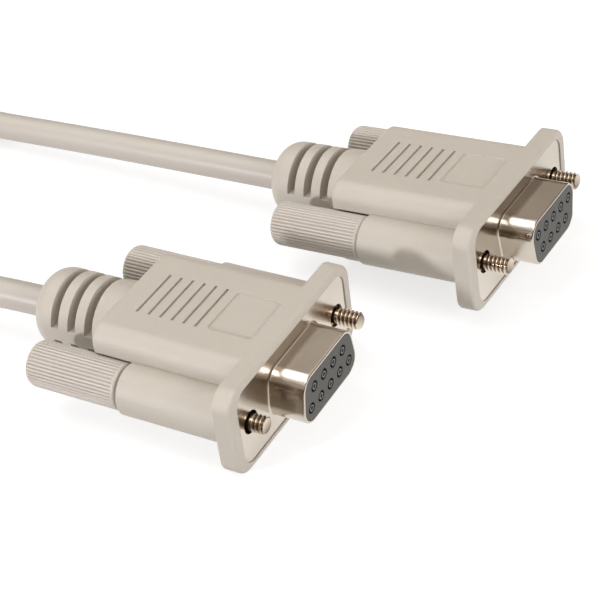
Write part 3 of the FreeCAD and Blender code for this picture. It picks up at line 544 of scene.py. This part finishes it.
def gridObject(name, sections, material, capped=False):
    # each section is an array of rings, points round each ring, and three coordinates in metres
    points, faces, start = [], [], 0
    for rings in sections:
        count, around = rings.shape[:2]
        ring = np.arange(around)
        following = np.roll(ring, -1)
        first = start + np.arange(count - 1)[:, None] * around
        second = first + around
        quads = np.stack([first + ring, first + following, second + following, second + ring], axis=-1)
        faces += quads.reshape(-1, 4).tolist()
        if capped:
            faces.append((start + ring[::-1]).tolist())
            faces.append((start + ring + (count - 1) * around).tolist())
        points.append(rings.reshape(-1, 3))
        start += count * around
    data = bpy.data.meshes.new(name)
    data.from_pydata(np.vstack(points), [], faces)
    data.materials.append(material)
    piece = bpy.data.objects.new(name, data)
    scene.collection.objects.link(piece)
    return piece


def roundAxis(plug, offset, distance, radius, turn):
    # circles round a screw's axis: distances behind the face, radii and angles
    across, up = offset + radius * np.cos(turn), radius * np.sin(turn)
    return toRow(plug, np.stack([-distance, across, up], axis=-1))


def standOutlines(plug, distances, outlines):
    # flat outlines across a plug, each at its own distance behind the face
    lengthwise = np.broadcast_to(-np.array(distances)[:, None, None], (*outlines.shape[:2], 1))
    return toRow(plug, np.concatenate([lengthwise, outlines], axis=-1))


# Jackscrews with a rolled thread; fronts, tips and rears lie behind the plug's mating face

screw = {
    "offset": 12.495,         # each side of the plug's axis
    "radius": 1.36,           # over the thread
    "rodRadius": 1.42,        # of the long rod that the head sits on
    "rootRadius": 1.0,
    "pitch": 0.635,
    "crestFrom": 0.86,        # of half a pitch, from the groove's middle to the flat crest
    "flank": 0.7,             # of half a pitch, from the crest down to the flat root
    "tip": 1.5,
    "looseTip": 3.0,          # plug A's right screw: slid back and shorter
    "slidBack": 0.3,
    "chamfer": 0.18,
    "threadRear": 5.0,
    "shank": 1.2,             # radius behind the thread
    "shankShade": 0.6,        # painted shade, as it stands in the dark behind the flange
    "neckFront": 6.9,
    "neckRear": 7.78,
    "neck": 1.05,             # radius inside the retaining ring
    "rear": 37.0,
    "stepsPerTurn": 16,
    "around": 48,
}


def isLoose(plug, side):
    # the one screw that the photograph shows slid back
    return plug == "plug_a" and side == "right"


def sideOffset(side):
    return screw["offset"] if side == "left" else -screw["offset"]


def makeScrew(plug, side):
    # r(x, a) is the crest radius less the tooth's depth: a trapezium wave of x / pitch + a / 360,
    # cut by the chamfer's cone at the tip; behind the thread come plain steps
    tip = screw["looseTip"] if isLoose(plug, side) else screw["tip"]
    back = screw["slidBack"] if isLoose(plug, side) else 0.0
    steps = int((screw["threadRear"] - tip) / screw["pitch"] * screw["stepsPerTurn"])
    thread = np.linspace(tip, screw["threadRear"], steps)
    turn = np.linspace(0, 2 * math.pi, screw["around"], endpoint=False)
    distance, angle = np.meshgrid(thread, turn, indexing="ij")
    phase = np.abs((distance / screw["pitch"] + angle / (2 * math.pi)) % 1 - 0.5) * 2
    depth = np.clip((screw["crestFrom"] - phase) / screw["flank"], 0, 1)
    radius = screw["radius"] - (screw["radius"] - screw["rootRadius"]) * depth
    cone = screw["radius"] - screw["chamfer"] + distance - tip
    radius = np.minimum(radius, cone)
    rear = np.array([         # distance, radius and painted shade
        (screw["threadRear"], screw["shank"], screw["shankShade"]),
        (screw["neckFront"] + back, screw["shank"], screw["shankShade"]),
        (screw["neckFront"] + back, screw["neck"], 0),
        (screw["neckRear"] + back, screw["neck"], 0),
        (screw["neckRear"] + back, screw["rodRadius"], 0),
        (screw["rear"] + back, screw["rodRadius"], 0),
    ])
    rearDistance, rearRadius, rearShade = np.repeat(rear.T[:, :, None], len(turn), axis=2)
    distance = np.vstack([distance, rearDistance])
    radius = np.vstack([radius, rearRadius])
    rings = roundAxis(plug, sideOffset(side), distance, radius, turn)
    piece = gridObject(f"{plug}_{side}_screw_threaded", [rings], materials["screw"], capped=True)
    # painted shade: the grooves darken with their depth, the shank behind the flange less
    addShade(piece.data, np.vstack([depth, rearShade]))
    finishMesh(piece, finish["turnedCrease"], turnOutwards)
    claim(piece, f"{plug}_{side}_screw", f"{plug}_{side}_thumbscrew")


# Thumbscrew heads with rounded ribs

head = {
    "radius": 3.5,
    "front": 25.42,
    "rear": 41.25,
    "bevel": 0.25,
    "edge": 1.2,              # rounding of the rear edge
    "edgePoints": 8,
    "ribs": 40,
    "ribDepth": 0.21,
    "gapPower": 2.2,          # 1 would be a wave, more makes the gap narrower
    "ribStart": 25.95,
    "ribFade": 0.3,           # over which the ribs rise behind the plain band
    "ribRing": 0.12,          # rings this far before and behind the start keep the band plain
    "ribRings": (30, 34, 38),
    "samples": 10,            # round each rib
    "bore": 1.42,
    "slotWidth": 1.0,
    "slotLength": 4.6,
    "slotDepth": 1.2,
    "slotOverrun": 1.0,       # the cutting box stands out behind the head
}


def makeHead(plug, side):
    # r(x, a) is the outline's radius less a rib gap: the depth times a narrow power of the
    # cosine of the rib angle, which starts softly behind the plain band
    back = screw["slidBack"] if isLoose(plug, side) else 0.0
    full, start = head["radius"], head["ribStart"]
    bend = np.linspace(0, math.pi / 2, head["edgePoints"])
    profile = [(head["front"], head["bore"]), (head["front"], full - head["bevel"])]
    profile += [(head["front"] + head["bevel"], full), (start - head["ribRing"], full)]
    profile += [(start, full), (start + head["ribRing"], full), (start + head["ribFade"], full)]
    profile += [(place, full) for place in head["ribRings"]]
    rounding = np.column_stack([head["rear"] - head["edge"] * (1 - np.sin(bend)),
                                full - head["edge"] * (1 - np.cos(bend))])
    profile = np.vstack([profile, rounding])
    turn = np.linspace(0, 2 * math.pi, head["ribs"] * head["samples"], endpoint=False)
    distance, angle = np.meshgrid(profile[:, 0], turn, indexing="ij")
    gap = (0.5 + 0.5 * np.cos(angle * head["ribs"])) ** head["gapPower"]
    begin = np.clip((distance - start) / head["ribFade"], 0, 1)
    radius = profile[:, 1, None] - head["ribDepth"] * gap * begin
    rings = roundAxis(plug, sideOffset(side), distance + back, radius, angle)
    piece = gridObject(f"{plug}_{side}_screw_head_ribbed", [rings], materials["head"], capped=True)
    # painted shade in the gaps between the ribs, by their depth
    addShade(piece.data, gap * begin)
    finishMesh(piece, finish["turnedCrease"], turnOutwards)
    cutSlot(piece, plug, sideOffset(side), back)
    claim(piece, f"{plug}_{side}_screw_head", f"{plug}_{side}_thumbscrew")


def cutSlot(piece, plug, offset, back):
    # the driver slot: a box across the rear end, taken out and the cut kept in the mesh
    half, reach = head["slotWidth"] / 2, head["slotLength"] / 2
    floor = head["rear"] - head["slotDepth"] + back
    behind = head["rear"] + head["slotOverrun"] + back
    # clockwise as seen from the front, so that the box's faces point outwards
    outline = np.array([(-half, -reach), (-half, reach), (half, reach), (half, -reach)]) + (offset, 0)
    rings = standOutlines(plug, [floor, behind], np.stack([outline, outline]))
    cutter = gridObject("driverSlot", [rings], materials["head"], capped=True)
    cut = piece.modifiers.new("slot", "BOOLEAN")
    cut.operation = "DIFFERENCE"
    cut.solver = "EXACT"
    cut.object = cutter
    piece.modifiers["flatFaces"].show_viewport = False
    graph = bpy.context.evaluated_depsgraph_get()
    piece.data = bpy.data.meshes.new_from_object(piece.evaluated_get(graph))
    piece.modifiers.remove(cut)
    piece.modifiers["flatFaces"].show_viewport = True
    bpy.data.objects.remove(cutter)


# Front shell: the flange with its holes and the drawn D

shell = {
    "width": 16.33,
    "height": 7.9,
    "slope": 10.0,            # degrees that the short sides lean
    "corner": 2.6,
    "cornerSteps": 14,
    "wall": 0.45,
    "lip": 0.3,               # radius of the D's front edge
    "root": 0.3,              # radius where it leaves the flange
    "bendPoints": 7,          # of the lip and of the root
    "innerRings": [(1.2, 0), (0.12, 0), (0.0, 0.08)],   # distance, and how far out from the wall's inside
    "sideRings": (1.5, 3.0, 4.4),                       # distances of plain rings along the outside
    "plateFront": 5.55,
    "plateSheet": 0.5,
    "plateWidth": 30.8,
    "plateHeight": 12.5,
    "plateCorner": 2.4,
    "plateCornerSteps": 8,
    "holeRadius": 1.75,
    "holeDepth": 1.0,         # through the front and the rear plate
    "holePoints": 40,
}


def roundedLoop(corners, radius, steps):
    # middles of the corner arcs and the directions out of them, once round; a straight side
    # is the line between two arcs' ends
    corners = np.array(corners, float)
    before = np.roll(corners, 1, axis=0) - corners
    after = np.roll(corners, -1, axis=0) - corners
    before = before / np.linalg.norm(before, axis=1, keepdims=True)
    after = after / np.linalg.norm(after, axis=1, keepdims=True)
    halfAngle = np.arccos(np.clip(np.sum(before * after, axis=1), -1, 1)) / 2
    inward = before + after
    inward = inward / np.linalg.norm(inward, axis=1, keepdims=True)
    centres = corners + inward * (radius / np.sin(halfAngle))[:, None]
    middle = np.arctan2(-inward[:, 1], -inward[:, 0])
    angles = middle[:, None] + np.linspace(-1, 1, steps + 1) * (math.pi / 2 - halfAngle)[:, None]
    directions = np.column_stack([np.cos(angles).ravel(), np.sin(angles).ravel()])
    return np.repeat(centres, steps + 1, axis=0), directions


def dCorners():
    lean = math.tan(math.radians(shell["slope"]))
    wide, tall = shell["width"] / 2, shell["height"] / 2
    narrow = wide - 2 * tall * lean
    return [(wide, -tall), (narrow, tall), (-narrow, tall), (-wide, -tall)]


def drawnRings(plug):
    # The profile runs from inside the D over its rounded lip, back along the outside and out over
    # the root fillet onto the flange; each profile point is the D's outline moved along its normal.
    centres, directions = roundedLoop(dCorners(), shell["corner"], shell["cornerSteps"])
    bend = np.linspace(0, math.pi / 2, shell["bendPoints"])
    inner = [(distance, inwards - shell["wall"]) for distance, inwards in shell["innerRings"]]
    lip = np.column_stack([1 - np.cos(bend), np.sin(bend) - 1]) * shell["lip"]
    outside = [(distance, 0) for distance in shell["sideRings"]]
    root = np.column_stack([np.sin(bend) - 1, 1 - np.cos(bend)]) * shell["root"] + (shell["plateFront"], 0)
    profile = np.vstack([inner, lip, outside, root])
    outlines = centres + directions * (shell["corner"] + profile[:, 1, None, None])
    return standOutlines(plug, profile[:, 0], outlines)


def plateWalls(plug):
    # the plate's edge and its two holes, each an outline drawn straight back from the front plane
    wide, tall = shell["plateWidth"] / 2, shell["plateHeight"] / 2
    corners = [(wide, -tall), (wide, tall), (-wide, tall), (-wide, -tall)]
    centres, directions = roundedLoop(corners, shell["plateCorner"], shell["plateCornerSteps"])
    walls = [(centres + directions * shell["plateCorner"], shell["plateSheet"])]
    turn = np.linspace(0, 2 * math.pi, shell["holePoints"], endpoint=False)
    circle = np.column_stack([np.cos(turn), np.sin(turn)]) * shell["holeRadius"]
    walls += [(circle + (sideOffset(side), 0), shell["holeDepth"]) for side in sides]
    front = shell["plateFront"]
    return [standOutlines(plug, [front, front + depth], np.stack([loop, loop])) for loop, depth in walls]


def makeShell(plug):
    sections = [drawnRings(plug), *plateWalls(plug)]
    piece = gridObject(f"{plug}_front_shell_drawn", sections, materials["shell"])

    def onPlate(edge):
        distances = behindFace(plug, [vertex.co for vertex in edge.verts])
        return np.allclose(distances, shell["plateFront"], atol=finish["merge"])

    def fillPlate(work):
        # one flat face area between the D's root, the plate's edge and the two holes
        edges = [edge for edge in work.edges if edge.is_boundary and onPlate(edge)]
        bmesh.ops.triangle_fill(work, edges=edges, use_beauty=True, use_dissolve=False)

    finishMesh(piece, finish["drawnCrease"], fillPlate, turnOutwards)
    claim(piece, f"{plug}_front_shell", "cable")


for plug in plugs:
    makeShell(plug)
    for side in sides:
        makeScrew(plug, side)
        makeHead(plug, side)
print("shells, screws and heads made")


# Studio: white table, pale surroundings, soft lamps, and painted reflections of the table and a banded room

studio = {
    "floorSize": 3.0,
    "floorGap": 0.00005,      # the table lies this far under the cable
    "floorGlow": 0.72,        # what the camera sees of the table besides the light on it
    "floorColour": 0.42,      # how much of the light and shadow on it the camera sees
    "floorBounce": 0.64,      # how much light it throws up at the cable
    "paintedReflectionAhead": (0.175, 0.128, 0.088), # painted reflection: the dark table that mirror rays see in front of plug A, though the camera sees it white
    "paintedReflectionBehind": (1.04, 1.03, 1.0),
    "aheadEdges": (-0.043, -0.033),      # where along Y it turns from one to the other
    "roomLight": (0.535, 0.525, 0.5),
    "room": [                            # painted reflection: the room that only mirror rays see, from low to high
        (0.3, (0.108, 0.07, 0.042)),
        (0.5, (0.52, 0.46, 0.405)),
        (0.63, (0.28, 0.24, 0.2)),
        (0.78, (0.85, 0.81, 0.76)),
    ],
    "lamps": [
        # name, place, size, watts, colour, target, whether it lights and whether gloss shows it
        ("keyLamp", (-0.48, -0.83, 0.27), 0.1, 4.3, (1, 1, 1.06), (0, 0, 0.006), True, True),
        ("sideLamp", (0.95, -0.12, 0.32), 0.6, 4.6, (1, 1, 1), (0, 0, 0), True, False),
        ("glintLamp", (0.4, -0.25, 0.95), 0.5, 3.2, (1, 1, 1), (0, 0, 0), False, True),
        ("topLamp", (-0.5, 0.05, 0.95), 0.9, 4.2, (1, 0.99, 0.94), (0, 0, 0), True, True),
    ],
}


def makeFloor():
    # glowing and lit for the camera, plain pale for other light, and for mirror rays a painted
    # reflection of a table that is dark in front of plug A
    half = studio["floorSize"] / 2
    corners = [(-half, -half, 0), (half, -half, 0), (half, half, 0), (-half, half, 0)]
    data = bpy.data.meshes.new("table")
    data.from_pydata(corners, [], [(0, 1, 2, 3)])
    floor = bpy.data.objects.new("table", data)
    scene.collection.objects.link(floor)
    floor.location.z = cadBox[0][2] - studio["floorGap"]
    material, tree, output = newMaterial("whiteTable")
    link = tree.links.new
    glow = addNode(tree, "ShaderNodeEmission", Strength=studio["floorGlow"])
    lit = addNode(tree, "ShaderNodeBsdfDiffuse", Color=grey(studio["floorColour"]))
    seen = addNode(tree, "ShaderNodeAddShader")
    link(glow.outputs[0], seen.inputs[0])
    link(lit.outputs[0], seen.inputs[1])
    lighting = addNode(tree, "ShaderNodeBsdfDiffuse", Color=grey(studio["floorBounce"]))
    coordinates = addNode(tree, "ShaderNodeTexCoord")
    parts = addNode(tree, "ShaderNodeSeparateXYZ")
    reach = addNode(tree, "ShaderNodeMapRange")
    reach.inputs["From Min"].default_value = studio["aheadEdges"][0]
    reach.inputs["From Max"].default_value = studio["aheadEdges"][1]
    link(coordinates.outputs["Object"], parts.inputs[0])
    link(parts.outputs["Y"], reach.inputs["Value"])
    tone = mixColours(tree, reach.outputs["Result"], studio["paintedReflectionAhead"], studio["paintedReflectionBehind"])
    shown = addNode(tree, "ShaderNodeEmission", Strength=1.0)
    link(tone, shown.inputs["Color"])
    pickByRay(tree, output, lighting, shown, seen)
    data.materials.append(material)


def makeWorld():
    # white behind the object for the camera, even light all round, and for mirror rays a painted
    # reflection of a banded room, which the nickel shows: the ramp runs over the height of the direction looked in
    world = bpy.data.worlds.new("paleStudio")
    scene.world = world
    world.use_nodes = True
    tree = world.node_tree
    tree.nodes.clear()
    link = tree.links.new
    output = tree.nodes.new("ShaderNodeOutputWorld")
    seen = addNode(tree, "ShaderNodeBackground", Color=(1, 1, 1, 1), Strength=1.0)
    light = addNode(tree, "ShaderNodeBackground", Color=(*studio["roomLight"], 1), Strength=1.0)
    room = addNode(tree, "ShaderNodeBackground", Strength=1.0)
    coordinates = addNode(tree, "ShaderNodeTexCoord")
    parts = addNode(tree, "ShaderNodeSeparateXYZ")
    ramp = addNode(tree, "ShaderNodeValToRGB")
    ramp.color_ramp.interpolation = "EASE"
    stops = ramp.color_ramp.elements
    stops.remove(stops[0])
    for number, (place, colour) in enumerate(studio["room"]):
        stop = stops[0] if number == 0 else stops.new(place)
        stop.position = place
        stop.color = (*colour, 1)
    link(coordinates.outputs["Generated"], parts.inputs[0])
    link(parts.outputs["Z"], ramp.inputs["Fac"])
    link(ramp.outputs["Color"], room.inputs["Color"])
    pickByRay(tree, output, light, room, seen)


def makeLamps():
    for name, place, size, watts, colour, target, lights, shows in studio["lamps"]:
        data = bpy.data.lights.new(name, "AREA")
        data.shape = "DISK"
        data.size = size
        data.energy = watts
        data.color = colour
        lamp = bpy.data.objects.new(name, data)
        scene.collection.objects.link(lamp)
        lamp.location = place
        lamp.visible_diffuse = lights
        lamp.visible_glossy = shows
        ahead = np.array(target) - np.array(place)
        down = math.atan2(math.hypot(ahead[0], ahead[1]), -ahead[2])
        heading = math.atan2(ahead[1], ahead[0]) - math.pi / 2
        lamp.rotation_euler = (down, 0, heading)


makeFloor()
makeWorld()
makeLamps()
print("studio made")
